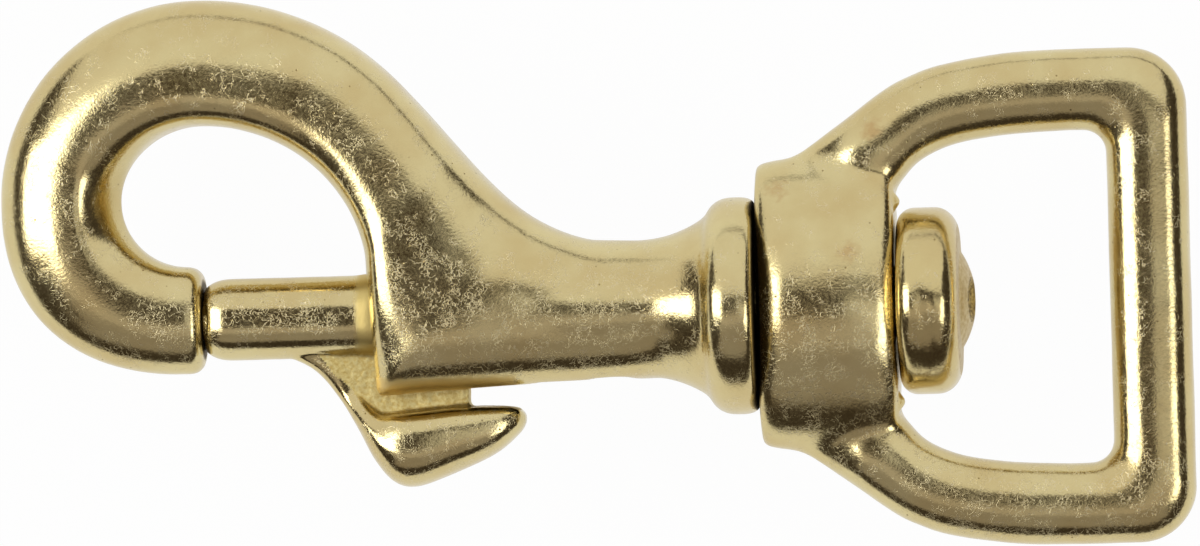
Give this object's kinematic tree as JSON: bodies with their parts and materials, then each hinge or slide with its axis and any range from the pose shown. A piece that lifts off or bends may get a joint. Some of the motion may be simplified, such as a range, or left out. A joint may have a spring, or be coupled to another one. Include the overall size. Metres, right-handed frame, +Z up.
{
  "type": "snap hook",
  "caption": "Cast brass bolt snap: a hook closed by a sprung sliding bolt with a thumb lug, and a swivelling rectangular eye for a strap.",
  "frame": {"origin": "on the swivel axis, on the strap bar's inner face, where the strap pulls", "axes": "+X along the swivel axis from the hook to the eye, +Y towards the hook's spine, +Z up through the flat of the part as it lies"},
  "size_m": [0.0741, 0.0354, 0.0136],
  "materials": {
    "hook_brass": "cast, tumbled and polished",
    "bolt_brass": "cast and polished, the web left as cast",
    "eye_brass": "cast, tumbled and polished",
    "rivet_brass": "upset and polished",
    "spring_steel": "drawn wire"
  },
  "bodies": {
    "hook": {"hook_body": "hook_brass", "swivel_rivet": "rivet_brass", "coil_spring": "spring_steel"},
    "bolt": {"spring_bolt": "bolt_brass"},
    "eye": {"swivel_eye": "eye_brass"}
  },
  "joints": [
    {"name": "bolt_slide", "type": "slide", "parent": "hook", "child": "bolt", "axis": [1, 0, 0], "range_m": [0, 0.0098], "stiffness_N_per_m": 1200, "springref_m": -0.006, "deforming": ["coil_spring"]},
    {"name": "eye_swivel", "type": "hinge", "parent": "hook", "child": "eye", "pos_m": [-0.0175, 0, 0], "axis": [1, 0, 0], "continuous": true}
  ]
}
